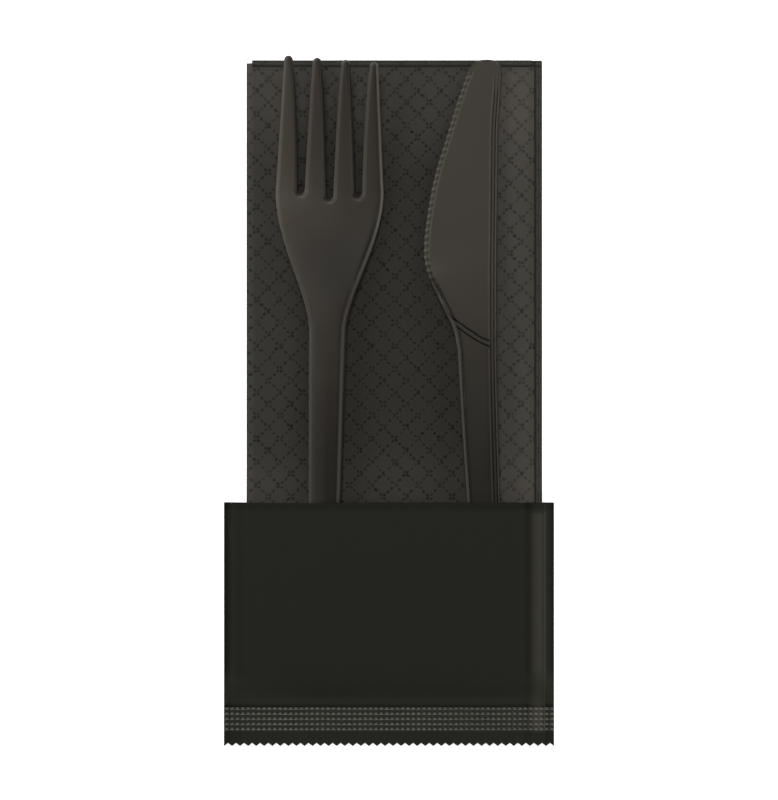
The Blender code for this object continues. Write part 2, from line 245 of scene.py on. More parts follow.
print("napkin: one sheet folded three times")
napkin = {
    "left": -39.85, "right": 42.85, "bottom": -69.65,
    "pitch": 0.70, "plyGap": 0.31, "ply": 0.20, "lift": 0.45, "base": 0.275,
    "sagStart": -26.35, "sagLength": 7.5,
    "topUpper": 93.75, "topHidden": 93.45, "topFold": 94.8, "topRest": 95.68,
    "frontDrop": 0.12, "foldDrop": 0.10, "foldEdge": -38.05, "foldStep": 0.03,
    "setback": 2.1, "innerSetback": 3.15, "rows": 46,
    # small waves in the leaves: height, turns across, turns along, start
    "waves": [(0.012, 0.16, 0.05, 0.0), (0.008, 0.05, -0.11, 1.0)],
    "cellX": 6.426, "cellY": 6.482, "latticeX": -7.98, "latticeY": -0.40, "dotSide": 0.82,
    "centre": (0.0182, 0.0174, 0.0144), "toneAndPaintedLight": (0.054, 0.0490, 0.043),
    "dotColour": (0.0060, 0.0058, 0.0052), "stripColour": (0.028, 0.028, 0.0235),
    "paintedShadowColour": (0.0045, 0.0050, 0.0040),
    # painted light: where the tissue is painted paler, towards which side, start and end in metres,
    # share
    "paintedLitZones": [
        ("right", 0.020, 0.034, 0.66), ("left", 0.022, 0.030, 0.28),
        ("left", 0.0376, 0.0381, 0.20), ("up", 0.058, 0.092, 0.44), ("down", 0.010, 0.026, 0.24),
    ],
}


def napkinPath():
    n = napkin
    left, right = n["left"] + n["base"], n["right"] - n["base"]
    level = [n["base"] + n["pitch"] * k for k in range(4)]
    outer, inner = 1.5 * n["pitch"], 0.5 * n["pitch"]
    path = []

    def run(start, end, z, steps, last=False):
        for k in range(steps + (1 if last else 0)):
            path.append((mix(start, end, k / steps), z))

    def bend(x, z, radius, first, last, steps=10):
        for k in range(steps):
            turn = mix(first, last, k / steps)
            path.append((x + radius * math.cos(turn), z + radius * math.sin(turn)))

    quarter = math.pi / 2
    # the outer fold is cut lower than the leaves beside it, with a step at its edge
    before, after = n["foldEdge"] + n["foldStep"], n["foldEdge"] - n["foldStep"]
    run(n["right"] - n["setback"], before, level[3], 26)
    run(before, after, level[3], 1)
    run(after, left + outer, level[3], 2)
    bend(left + outer, (level[0] + level[3]) / 2, outer, quarter, 3 * quarter, 14)
    run(left + outer, after, level[0], 2)
    run(after, before, level[0], 1)
    run(before, right - inner, level[0], 8)
    bend(right - inner, (level[0] + level[1]) / 2, inner, -quarter, quarter)
    innerLeft = n["foldEdge"] + inner
    run(right - inner, innerLeft, level[1], 8)
    bend(innerLeft, (level[1] + level[2]) / 2, inner, 3 * quarter, quarter)
    run(innerLeft, n["right"] - n["innerSetback"], level[2], 12, last=True)
    return np.array(path)


def makeNapkin():
    n = napkin
    path = napkinPath()
    step = np.gradient(path, axis=0)
    step /= np.linalg.norm(step, axis=1)[:, None]
    normal = np.stack([step[:, 1], -step[:, 0]], 1)  # outwards on the upper leaf
    length = np.concatenate([[0], np.cumsum(np.linalg.norm(np.diff(path, axis=0), axis=1))])
    onTop = path[:, 1] > path[0, 1] - 0.001
    onFold = path[:, 0] < n["foldEdge"] - 0.01
    frontTop = np.where(onTop, n["topUpper"], n["topRest"] - n["frontDrop"])
    frontTop = np.where(onFold, n["topFold"], frontTop)
    backTop = np.where(onTop, n["topHidden"], n["topRest"])
    backTop = np.where(onFold, n["topFold"] - n["foldDrop"], backTop)
    # each leaf is double: down its front, round the bottom fold, and up its back
    shares = np.linspace(0, 1, n["rows"])
    fold = n["plyGap"] / 2
    rows = [("front", share) for share in shares]
    rows += [("turn", turn) for turn in np.linspace(0, math.pi, 7)[1:-1]]
    rows += [("back", share) for share in shares[::-1]]
    points = np.zeros((len(path), len(rows), 3))
    flatY = np.zeros((len(path), len(rows)))
    for j, (kind, value) in enumerate(rows):
        if kind == "front":
            y = mix(frontTop, n["bottom"] + fold, value)
            offset = fold
            flat = y
        elif kind == "back":
            y = mix(backTop, n["bottom"] + fold, value)
            offset = -fold
            flat = 2 * n["bottom"] - y
        else:
            y = np.full(len(path), n["bottom"] + fold - fold * math.sin(value))
            offset = fold * math.cos(value)
            flat = y
        x = path[:, 0] + normal[:, 0] * offset
        z = path[:, 1] + normal[:, 1] * offset
        z += n["lift"] * (1 - ease((y - n["sagStart"]) / n["sagLength"]))
        for height, across, along, start in n["waves"]:
            z += height * np.sin(x * across + y * along + start)
        points[:, j] = np.stack([x, y, z], 1)
        flatY[:, j] = flat
    flatX = (n["right"] - n["setback"]) - length
    columns, count = points.shape[:2]
    faces = []
    for i in range(columns - 1):
        for j in range(count - 1):
            a = i * count + j
            faces.append((a, a + count, a + count + 1, a + 1))
    mesh = bpy.data.meshes.new("napkin")
    mesh.from_pydata([tuple(p) for p in points.reshape(-1, 3) * mm], [], faces)
    layer = mesh.uv_layers.new(name="tissueMap")
    spots = np.stack([np.repeat(flatX, count), flatY.ravel()], 1)
    corners = np.zeros(len(mesh.loops), np.int32)
    mesh.loops.foreach_get("vertex_index", corners)
    layer.data.foreach_set("uv", (spots[corners] * mm).astype(np.float32).ravel())
    mesh.shade_smooth()
    made = bpy.data.objects.new("napkinSheet", mesh)
    kit.objects.link(made)
    solid = made.modifiers.new("ply", "SOLIDIFY")
    solid.thickness = n["ply"] * mm
    solid.offset = 0.0
    return made


def tissueMaterial():
    n = napkin
    made, w, shader = newMaterial("napkinTissue")
    spot = w.node("ShaderNodeUVMap", {"uv_map": "tissueMap"})
    x, y, _ = spot.apart()
    # a lattice of dots on slanted lines, four round each crossing
    across = (x - n["latticeX"] * mm) / (n["cellX"] * mm)
    along = (y - n["latticeY"] * mm) / (n["cellY"] * mm)
    jitter, press, drift = spot.noise(420.0, 1.0), spot.noise(300.0, 2.0), spot.noise(110.0, 1.0)

    def dots(first, second, slip):
        # distance to the line, then along it to the nearest of three dots
        line = w.maths("FRACT", first + 0.5) - 0.5
        spread = w.maths("FRACT", second * 3.0 + drift * slip * 1.8) - 0.5
        side = n["cellX"] * math.sqrt(0.5)
        far = line * side + (jitter - 0.5) * slip
        near = spread * (side / 3) - (jitter - 0.5) * slip
        return w.maths("SQRT", far * far * 1.25 + near * near * 0.8)

    def past(wire, edge, start, end):
        # 0 before the edge and 1 past it, with start and end measured from it in millimetres
        return wire.over((edge + start) * mm, (edge + end) * mm)

    rise, fall = along + across, along - across
    gap = dots(rise, fall, 1.0).atMost(dots(fall, rise, -1.0)) + (press - 0.5) * 0.35
    dot = 1 - gap.over(n["dotSide"] * 0.30, n["dotSide"] * 0.74)
    halo = 1 - gap.over(n["dotSide"] * 0.7, n["dotSide"] * 1.3)
    place = w.node("ShaderNodeTexCoord", out="Object")
    right, up, _ = place.apart()
    sides = {"right": right, "left": 0.0 - right, "up": up, "down": 0.0 - up}
    fibre = place.noise(2600.0, 3.0, 0.6)
    # a little random tone, then painted light that makes the tissue paler towards the sides, the
    # top and the bottom
    toneAndPaintedLight = (place.noise(38.0, 2.0) - 0.5) * 0.25
    for side, start, end, share in n["paintedLitZones"]:
        toneAndPaintedLight = toneAndPaintedLight + sides[side].over(start, end) * share
    toneAndPaintedLight = toneAndPaintedLight.atLeast(0.0).atMost(1.0)
    colour = toneAndPaintedLight.blend(rgb(*n["centre"]), rgb(*n["toneAndPaintedLight"]))
    colour = ((fibre - 0.5) * 0.5 + 0.12).blend(colour, scaled(n["centre"], 1.7))
    colour = (halo * 0.12).blend(colour, scaled(n["centre"], 1.8))
    colour = (dot * (0.68 - toneAndPaintedLight * 0.30) * (jitter * 2.0)).blend(colour, rgb(*n["dotColour"]))
    # the lower leaves: a greyer strip, painted shade along the free rims, and a painted shadow line
    # beside the upper leaf's edge
    leafTop, leafRight = n["topUpper"], n["right"] - n["setback"]
    above = past(up, leafTop, -0.15, 0.05) * past(right, n["foldEdge"], -0.07, 0.01)
    beyond = past(right, leafRight, -0.25, -0.05)
    paintedShadowAbove = above * (1 - past(up, leafTop, 0.25, 1.05)) * 0.8
    paintedShadowBeyond = beyond * (1 - past(right, leafRight, 0.05, 0.35))
    # painted shade along the leaves' free rims and the left fold's edge
    rim = past(up, n["topRest"], -0.38, -0.18).atLeast(past(right, n["right"], -0.45, -0.25))
    rim = rim.atLeast(past(sides["left"], -n["left"], -0.55, -0.25) * 0.45)
    colour = (above.atLeast(beyond) * 0.6).blend(colour, rgb(*n["stripColour"]))
    paintedShade = paintedShadowAbove.atLeast(paintedShadowBeyond).atLeast(rim)
    colour = (paintedShade * 0.85).blend(colour, rgb(*n["paintedShadowColour"]))
    join(colour, shader, "Base Color")
    join((1 - dot + fibre * 0.35).bump(0.55, 0.12), shader, "Normal")
    settle(shader, {
        "Roughness": 0.93, "Specular IOR Level": 0.05, "Sheen Weight": 0.03, "Sheen Roughness": 0.5,
    })
    return made


napkinSheet = makeNapkin()
napkinSheet.data.materials.append(tissueMaterial())

print("fork: four tines, a dished head and a handle like an upturned trough")
fork = {
    "length": 169.7, "tineLength": 37.6, "shoulder": 39.5, "low": 4.0,
    "headWidth": 30.1, "tipSpread": 26.3, "neckWidth": 10.3, "buttWidth": 7.9,
    "tineRoot": 5.95, "tineTip": 2.50, "tineStep": 0.45, "tineCap": 0.62, "fullTine": 2.9,
    "wall": 1.2, "headWall": 0.80, "headSkin": 0.72, "handleHeight": 2.7, "edgeDrop": 0.4,
    "tineRise": 6.5, "tineCurve": 1.8, "tineCrown": 0.22, "lateTaper": 0.55, "dish": 0.9,
    "crown": 0.45, "neckRise": 2.0, "neckFlare": 0.24, "foot": 0.1,
    "slotFloor": (131.8, 130.3, 131.2),
    "leftDraft": 0.50, "rightDraft": 1.20, "slotDraft": 1.05, "tipDraft": 0.55,
    "place": (-18.55, -73.55, 3.4), "lean": 0.87, "lift": 0.45,
    "colour": (0.0194, 0.0161, 0.0129),
}
# columns: distances from the handle's two edges, and from the edges of a tine
bandLeft = np.array([0, 0.12, 0.26, 0.42, 0.62, 0.9])
bandRight = np.array([1.45, 1.2, 0.9, 0.62, 0.42, 0.26, 0.12, 0])
tineOffsets = np.array([0, 0.15, 0.35, 0.6, 0.85, 1.05, 1.3])


def forkCurve(y):
    f = fork
    root = f["length"] - f["tineLength"]
    neck = root - f["shoulder"]
    low = root - f["low"]
    floor = f["wall"] + f["edgeDrop"]
    high = f["handleHeight"]
    out = np.clip((y - low) / (f["length"] - low), 0, 1)
    tines = floor + f["tineRise"] * out ** f["tineCurve"]
    shoulder = mix(floor, high + f["neckRise"], ease((low - y) / (low - neck)))
    handle = high + f["neckRise"] * (1 - ease((neck - y) / neck))
    return np.where(y >= low, tines, np.where(y >= neck, shoulder, handle))


def forkSpread(y):
    # 0 along the handle, 1 from the roots of the tines onwards
    f = fork
    share = np.clip((y - f["length"] + f["tineLength"] + f["shoulder"]) / f["shoulder"], 0, 1)
    share = share + f["neckFlare"] * share * (1 - share) ** 2
    return (1 - np.cos(math.pi * share)) / 2


def tineColumns(width, tine):
    # x of every column across the head, with the columns inside the slots
    f = fork
    pitch = (width - tine) / 3
    found, kinds = [], []
    for k in range(4):
        left = -(width - tine) / 2 + pitch * k - tine / 2
        inner = tineOffsets * min(1.0, tine / f["fullTine"])
        spots = list(left + inner) + [left + tine / 2] + list((left + tine - inner)[::-1])
        found += spots
        kinds += [(k, None)] * len(spots)
        if k < 3:
            slot = pitch - tine
            shares = np.sin(np.linspace(-1, 1, 11)[1:-1] * math.pi / 2)
            found += list(left + tine + slot * (shares + 1) / 2)
            kinds += [(k, share) for share in shares]
    return np.array(found), kinds


def handleColumns(width, count):
    middle = count - len(bandLeft) - len(bandRight)
    left = -width / 2 + bandLeft
    right = width / 2 - bandRight
    return np.concatenate([left, np.linspace(left[-1], right[0], middle + 2)[1:-1], right])


def makeFork():
    f = fork
    root = f["length"] - f["tineLength"]
    neck = root - f["shoulder"]
    kinds = tineColumns(f["headWidth"], f["tineRoot"])[1]
    count = len(kinds)
    radius = (f["headWidth"] - f["tineRoot"]) / 6 - f["tineRoot"] / 2
    arms = [floor + radius for floor in f["slotFloor"]]
    # where each column meets the line of the slots' floors
    line = []
    for n, (k, share) in enumerate(kinds):
        if share is not None:
            line.append(arms[k] - radius * math.sqrt(1 - share * share))
        else:
            before, after = arms[max(k - 1, 0)], arms[min(k, 2)]
            place = (n - kinds.index((k, None))) / (2 * len(tineOffsets))
            line.append(mix(before, after, ease(place)))
    line = np.array(line)
    depths = np.concatenate([
        [0, 0.15, 0.35, 0.6, 0.85, 1.05, 1.3, 1.8, 2.5, 3.4],
        np.linspace(4.6, root - neck, 34),
        np.linspace(root - neck, root, 44)[1:-5],
        root - np.array([6.0, 4.6, 3.4, 2.4, 1.6, 1.0, 0.55, 0.25, 0.0]),
    ])
    rows = []
    for depth in depths[::-1]:
        y = root - depth + (line - root) * (1 - ease(depth / 9.0))
        spread = forkSpread(y)
        width = mix(f["neckWidth"], f["headWidth"], spread)
        handle = mix(f["buttWidth"], f["neckWidth"], np.clip(y / neck, 0, 1))
        width = np.where(y < neck, handle, width)
        width = width * buttTaper(y, f["buttWidth"])
        x = np.zeros(count)
        for n in range(count):
            headX = tineColumns(width[n], f["tineRoot"])[0][n]
            x[n] = mix(handleColumns(width[n], count)[n], headX, spread[n])
        rows.append((x, y))
    tipTurns = np.linspace(0, math.pi / 2, 10)[1:]
    tineRows = np.concatenate([np.linspace(0, 1, 40)[1:], 1 + np.sin(tipTurns)])
    for share in tineRows:
        x, y = np.zeros(count), np.zeros(count)
        for k in range(4):
            tip = f["length"] - f["tineStep"] * k
            cap = f["tineTip"] * f["tineCap"]
            own = [n for n, kind in enumerate(kinds) if kind == (k, None)]
            slot = [n for n, kind in enumerate(kinds) if kind[0] == k and n not in own]
            straight = min(share, 1.0)
            rowY = mix(line[own], tip - cap, straight)
            width = mix(f["headWidth"], f["tipSpread"], straight)
            late = f["lateTaper"]
            tine = mix(f["tineRoot"], f["tineTip"] + late, straight**1.2) - late * straight**6
            spots = tineColumns(width, tine)[0][own]
            middle = (spots[0] + spots[-1]) / 2
            if share > 1:
                up = share - 1
                rowY = np.full(len(own), tip - cap + cap * up)
                spots = middle + (spots - middle) * max(1 - up**2.4, 0) ** 0.5
            x[own], y[own] = spots, rowY
            x[slot], y[slot] = x[own][-1], y[own][-1]
        rows.append((x, y))
    x = np.array([row[0] for row in rows]).T
    y = np.array([row[1] for row in rows]).T
    floorRow = len(depths) - 1
    keep = np.ones((count - 1, len(rows) - 1), bool)
    for n in range(count - 1):
        if kinds[n][1] is not None or kinds[n + 1][1] is not None:
            keep[n, floorRow:] = False
    faces, rim = shellFaces(keep, count, len(rows))
    spots = np.stack([x.ravel(), y.ravel()], 1)
    near, facing = rimDistance(spots, spots[rim])
    x, y = spots.T
    spread = forkSpread(y)
    outTine = np.clip((y - root) / f["tineLength"], 0, 1)
    half = np.interp(y, [0, neck], [f["buttWidth"] / 2, f["neckWidth"] / 2])
    half = mix(half, f["headWidth"] / 2, spread)
    across = np.clip(np.abs(x) / half, 0, 1)
    top = forkCurve(y) + mix(f["crown"] * (1 - across**2), f["dish"] * across**2, spread)
    # drafted walls: tall on the handle, low round the head and its slots
    right = np.clip(facing * 1.2, 0, 1)
    headDraft = mix(f["slotDraft"], f["tipDraft"], ease(outTine))
    draft = mix(mix(f["leftDraft"], f["rightDraft"], right), headDraft, spread)
    wall = mix(f["handleHeight"] - f["foot"], f["headWall"], spread)
    # each tine is a little round across
    tineHalf = mix(f["tineRoot"], f["tineTip"], ease(outTine)) / 2
    rounded = 1 - np.clip(1 - near / tineHalf, 0, 1) ** 2
    top += f["tineCrown"] * ease((y - root + 1.0) / 7.0) * rounded
    # painted highlights on the left edges and the right flank, painted shade on the right walls
    # inside the slots
    left = np.clip(-facing * 1.3, 0, 1)
    reach = mix(half, f["tipSpread"] / 2, outTine)
    outer = ease((x - reach + 2.2) / 0.4)
    side = np.clip(x / reach, -1, 1)
    edge = mix(1.0, 0.42, spread) * bell(near, 0.05, mix(0.36, 0.75, spread))
    paintedEdgeLight = mix(0.30, 0.09, spread) * np.exp(-near / mix(2.0, 0.9, spread))
    flank = bell(near, mix(0.85, 0.38, spread), mix(0.42, 0.26, spread))
    shade = bell(near, mix(1.75, 1.10, spread), 0.22)
    paintedLightShade = left * (edge + paintedEdgeLight) + right * outer * (0.75 * flank - 0.55 * shade)
    paintedLightShade -= right * (1 - outer) * 0.75 * ease((1.10 - near) / 0.40)
    # painted highlight and painted shade on the walls at the slots' floors
    floorWall = np.clip(1 - np.abs(facing) * 1.5, 0, 1)
    floorWall *= ease((root + 3 - y) / 2) * ease((y - root + 7) / 3)
    paintedLightShade += floorWall * (0.5 * bell(near, 0.95, 0.30) - 0.4 * bell(near, 0.1, 0.4))
    # painted shade: the bowl is painted darker to the right and at its low end, and painted lighter
    # under the tines
    onHead = ease((y - neck + 12) / 24)
    paintedBowlShade = 0.30 * ease((side + 0.7) / 1.3) * onHead
    paintedBowlShade += bell(y, 111, 13) * mix(0.62, 0.46, np.clip(side, 0, 1)) * ease((side + 1.3) / 1.0)
    paintedLightShade -= paintedBowlShade * ease((near - 0.7) / 0.8)
    paintedLightShade += 0.09 * ease((-side - 0.35) / 0.5) * ease((y - root + 8) / 12)
    paintedLightShade += 0.20 * bell(y, 129, 7) * ease((0.6 - side) / 1.0)
    inward = np.clip(near / draft, 0, 1)
    upper = top - wall * (1 - inward) ** 1.15 - 0.10 * bell(near, 0, 0.7 + draft)
    lower = top - wall - 0.10 - mix(0.0, f["wall"] - f["headSkin"], spread) * ease(near / 0.5)
    hollow = top - f["wall"] - 0.15
    inside = ease((near - draft * 0.55 - 0.5) / 0.7)
    lower = mix(mix(lower, hollow, inside), lower, spread)
    points = twoFaces(x, y, upper, np.minimum(lower, upper - 0.02))
    pitch = math.atan2(f["lift"], root - f["low"])
    placed = turned(points, pitch, math.radians(f["lean"])) + np.array(f["place"])
    return meshPiece("forkMoulding", placed * mm, faces, sharp=50, paintedLightShade=paintedLightShade)


# the plastic of the fork and the knife
plastic = {
    # low and high scale the paint from painted shade to painted light between the two heights after
    # them
    "low": 0.36, "high": 1.35, "paintedShadeUntil": -0.024, "paintedLightFrom": 0.050, "roughness": 0.50,
    # the last two colours are those of painted highlights and painted shade
    "light": (0.079, 0.072, 0.061), "paintedShade": (0.0025, 0.0022, 0.0019),
}


def plasticMaterial(name, paint):
    p = plastic
    made, w, shader = newMaterial(name)
    spot = w.node("ShaderNodeTexCoord", out="Object")
    _, up, _ = spot.apart()
    grain = spot.noise(2200.0, 2.0)
    flow = spot.noise(60.0, 3.0, 0.6)
    # painted shade and light: the plastic is painted darker towards the handle's end and lighter
    # towards the other end, over a little random tone
    tone = (flow - 0.5) * 0.3 + up.over(p["paintedShadeUntil"], p["paintedLightFrom"])
    colour = tone.blend(scaled(paint, p["low"]), scaled(paint, p["high"]))
    # painted highlights and painted shade: each point's painted value blends the colour towards the
    # highlight colour or the shade colour
    paintedLightShade = w.node("ShaderNodeAttribute", {"attribute_name": "paintedLightShade"}, out="Fac")
    colour = paintedLightShade.atLeast(0.0).blend(colour, rgb(*p["light"]))
    colour = (0.0 - paintedLightShade).atLeast(0.0).blend(colour, rgb(*p["paintedShade"]))
    join(colour, shader, "Base Color")
    join((grain - 0.5) * 0.10 + (flow - 0.5) * 0.12 + p["roughness"], shader, "Roughness")
    join(grain.bump(0.25, 0.02), shader, "Normal")
    settle(shader, {"Specular IOR Level": 0.15, "Specular Tint": rgb(1.0, 0.95, 0.86)})
    return made


forkMoulding = makeFork()
forkMoulding.data.materials.append(plasticMaterial("forkPlastic", fork["colour"]))

print("knife: toothed blade, ribbed back, panelled handle")
knife = {
    "length": 170.0, "bladeLength": 80.5, "bladeWidth": 20.1, "neckWidth": 10.9,
    "buttWidth": 7.6, "buttShift": 2.8, "tipFlare": 0.95, "backSlant": 0.010, "leftGrow": 0.18,
    "wall": 1.2, "handleHeight": 2.5, "edge": 0.5, "bevel": 1.75, "foot": 0.1, "fullWidth": 6.5,
    "teeth": 35, "toothPitch": 1.92, "toothDepth": 0.22, "teethFirst": 0.84, "teethLast": 0.044,
    "heelMiddle": 96.0, "heelReach": 20.0, "heelGap": 1.55, "backWidth": 1.7,
    "leftDraft": 0.3, "rightDraft": 0.3,
    # lines along the back: distance from it, width, then depth for the grooves or tone for the
    # painted highlights and painted shade
    "backGrooves": [(1.67, 0.16, 0.26), (0.76, 0.14, 0.24)],
    "backPaintedLight": [
        (0.33, 0.18, 0.50), (1.18, 0.16, 0.12), (2.10, 0.15, 0.35),
        (0.76, 0.14, -0.75), (1.67, 0.17, -0.85),
    ],
    "place": (30.0, -74.25, 3.4), "lift": 0.45, "mouth": 46.4,
    "colour": (0.0200, 0.0173, 0.0136),
}
# shares of the blade from its tip, with the shares of its width
bladeBelly = np.array([
    (0.000, 0.195), (0.003, 0.262), (0.011, 0.304), (0.025, 0.352), (0.070, 0.432),
    (0.140, 0.530), (0.263, 0.683), (0.402, 0.850), (0.535, 0.954), (0.643, 0.999),
    (0.685, 1.000), (0.724, 0.971), (0.795, 0.868), (0.874, 0.717), (0.930, 0.607), (1.0, 0.550),
])
# shares of the blade from its tip, with the millimetres that the back is cut in there
tipTuck = np.array([(0, 3.6), (0.003, 1.9), (0.011, 1.05), (0.025, 0.25), (0.041, 0.0)])
# places across the knife, with the heights of the heel's groove
heelGroove = np.array([
    (-15.4, 104.0), (-13.3, 100.9), (-11.4, 97.6), (-8.8, 95.0), (-5.0, 92.5), (-2.1, 91.4),
])


def smoothTable(table, value):
    # a smooth curve through the table's points
    places, heights = table.T
    slopes = np.gradient(heights, places)
    n = np.clip(np.searchsorted(places, value) - 1, 0, len(places) - 2)
    step = places[n + 1] - places[n]
    t = (value - places[n]) / step
    first = (1 + 2 * t) * (1 - t) ** 2 * heights[n] + t * (1 - t) ** 2 * step * slopes[n]
    return first + t**2 * (3 - 2 * t) * heights[n + 1] + t**2 * (t - 1) * step * slopes[n + 1]


def knifeSides(y):
    k = knife
    neck = k["length"] - k["bladeLength"]
    share = np.clip(y / neck, 0, 1)
    width = mix(k["buttWidth"], k["neckWidth"], share)
    handleRight = k["buttShift"] * (1 - share) ** 1.35
    fromTip = np.clip((k["length"] - y) / k["bladeLength"], 0, 1)
    bladeRight = k["tipFlare"] * ease(1 - fromTip / 0.28)
    bladeRight -= np.interp(fromTip, tipTuck[:, 0], tipTuck[:, 1])
    bladeRight += k["backSlant"] * np.maximum(y - neck - 22, 0)
    bladeLeft = -k["bladeWidth"] * smoothTable(bladeBelly, fromTip)
    right = np.where(y < neck, handleRight, bladeRight)
    left = np.where(y < neck, handleRight - width, bladeLeft)
    left = left - k["leftGrow"] * ease(fromTip / 0.06)
    taper = buttTaper(y, k["buttWidth"])
    middle = (left + right) / 2
    return middle + (left - middle) * taper, middle + (right - middle) * taper


def makeKnife():
    k = knife
    heel = k["heelMiddle"]
    # columns: distances from the left edge, shares between, and distances from the back
    near = np.array([0, 0.1, 0.2, 0.3, 0.42, 0.56, 0.72, 0.9, 1.1, 1.3, 1.5, 1.7, 1.9, 2.1, 2.35])
    middle = np.linspace(0, 1, 17)[1:-1]
    back = np.array([
        2.9, 2.5, 2.25, 2.08, 1.92, 1.8, 1.67, 1.54, 1.38, 1.15,
        0.98, 0.86, 0.76, 0.66, 0.52, 0.33, 0.16, 0.08, 0,
    ])
    fromLeft = np.concatenate([near, np.full(len(middle) + len(back), near[-1])])[:, None]
    fromRight = np.concatenate([np.full(len(near) + len(middle), back[0]), back])[:, None]
    between = np.concatenate([near * 0, middle, back * 0 + 1])[:, None]

    def columns(heights):
        # x of every column at these heights along the knife
        left, right = knifeSides(heights)
        room = np.minimum(1.0, (right - left) / k["fullWidth"])
        return mix(left + fromLeft * room, right - fromRight * room, between)

    firstTooth = k["length"] - k["bladeLength"] * k["teethFirst"]
    lastTooth = k["length"] - k["bladeLength"] * k["teethLast"]
    toTeeth = np.linspace(heel + 0.8, firstTooth, 6)[:-1]
    tipRows = np.array([0.041, 0.037, 0.033, 0.025, 0.018, 0.011, 0.007, 0.003, 0.001, 0])
    rows = np.concatenate([
        [0.0, 0.25, 0.55, 1.0, 1.6, 2.4, 3.4, 4.6, 6.0],
        np.linspace(8, heel - 6, 46),
        np.linspace(heel - 5.2, heel - 2.2, 6),
        heel - np.array([1.95, 1.75, 1.6, 1.5, 1.4, 1.25, 1.0, 0.7, 0.45, 0.25, 0.1, 0]),
        heel + np.array([0.1, 0.25, 0.45]),
        toTeeth,
        np.linspace(toTeeth[-1], lastTooth, k["teeth"] * 7 + 1)[1:],
        k["length"] - k["bladeLength"] * tipRows,
    ])
    # the rows near the heel follow its slanted groove
    shift = np.interp(columns(rows), heelGroove[:, 0], heelGroove[:, 1]) - heel
    y = rows + shift * (1 - ease(np.abs(rows - heel) / k["heelReach"]))
    x = columns(y)
    left, right = knifeSides(y)
    row = np.broadcast_to(rows, x.shape)
    offLeft, offRight = x - left, right - x
    tall = ease((heel - row) / 3.0 + 0.45)  # 1 on the handle, 0 on the blade
    slope = ease((row - heel) / 26.0)
    face = mix(k["handleHeight"] + 0.15, k["wall"], slope)
    rib = face + mix(0.40, 0.28, slope)
    panel = k["handleHeight"] - 0.12
    # the handle's panel, its rim on the left and the rib that closes it at the heel
    rimWidth = np.interp(y, [0, 46, 76, 94], [1.1, 1.05, 1.15, 1.3])
    panelEnd = ease((heel - 1.35 - row) / 0.25)
    inPanel = ease((offLeft - rimWidth) / 0.25) * panelEnd * ease((offRight - 1.75) / 0.2)
    z = np.where(row < heel - 0.05, mix(rib, panel, inPanel), face)
    # two grooves across the heel, one inside the rim, and a line along the edge above them
    beforeBack = ease((offRight - k["backWidth"]) / 0.3)
    acrossHeel = ease((offLeft - 0.9) / 0.5) * beforeBack
    lowGroove = heel - k["heelGap"]
    rimLine = bell(offLeft, 1.80, 0.30) * ease((heel + 9 - row) / 5)
    rimLine *= ease((row - heel + 0.4) / 0.6)
    z -= 0.30 * bell(row, heel, 0.17) * acrossHeel
    z -= 0.16 * bell(row, lowGroove, 0.16) * ease((offLeft - rimWidth + 0.2) / 0.3) * beforeBack
    z -= 0.14 * bell(offLeft, rimWidth + 0.08, 0.14) * (row < heel - 1.3)
    z -= 0.12 * rimLine
    # rib and grooves along the back, which end before the tip
    fade = ease((k["length"] - 3.0 - y) / 7.0)
    z = mix(z, rib, ease((2.15 - offRight) / 0.3) * fade)
    for place, width, depth in k["backGrooves"]:
        z -= fade * depth * bell(offRight, place, width)
    z += 0.07 * bell(offRight, 2.10, 0.20) * fade * (1 - tall)
    z += 0.12 * np.sin(np.clip(offLeft / np.maximum(right - left, 1e-6), 0, 1) * math.pi) * slope
    # cutting edge: a bevel of upright scallops
    onBlade = ease((row - heel - 1.0) / 4.0)
    bevel = np.clip(offLeft / k["bevel"], 0, 1)
    toothed = (y > firstTooth - 0.4) & (y < lastTooth + 0.2)
    run = np.concatenate([[0], np.cumsum(np.hypot(np.diff(x[0]), np.diff(y[0])))])
    phase = np.interp(y - 0.25 * offLeft, y[0], run) / k["toothPitch"]
    ripple = np.cos(2 * math.pi * phase)
    wave = (0.5 + 0.5 * ripple) * toothed
    z -= onBlade * (z - k["edge"]) * (1 - bevel) ** 1.1
    z -= onBlade * 0.26 * wave * np.sin(bevel * math.pi) ** 0.8 * (bevel < 1)
    x = x + onBlade * wave * k["toothDepth"] * (1 - ease(bevel))
    # outer walls of the handle, and the small round at the blade's back and tip
    handle = 1 - onBlade
    z -= handle * (z - k["foot"]) * (1 - np.clip(offLeft / k["leftDraft"], 0, 1)) ** 1.2
    z -= 0.12 * handle * bell(offLeft, 0, k["leftDraft"] + 0.5)
    wallFoot = mix(k["foot"], k["wall"] * 0.55, slope)
    z -= (z - wallFoot) * (1 - np.clip(offRight / k["rightDraft"], 0, 1)) ** 1.2
    z -= 0.4 * (1 - np.clip((k["length"] - y) / 0.5, 0, 1))
    # underside: a trough in the handle, flat under the blade
    inner = np.minimum(offLeft - k["leftDraft"], offRight - k["rightDraft"])
    hollow = ease((inner - 0.9) / 0.5) * ease((y - 2.5) / 1.0)
    trough = mix(k["foot"], k["handleHeight"] - 1.25, hollow)
    lower = mix(trough, 0.02, ease((row - heel + 8) / 12.0))
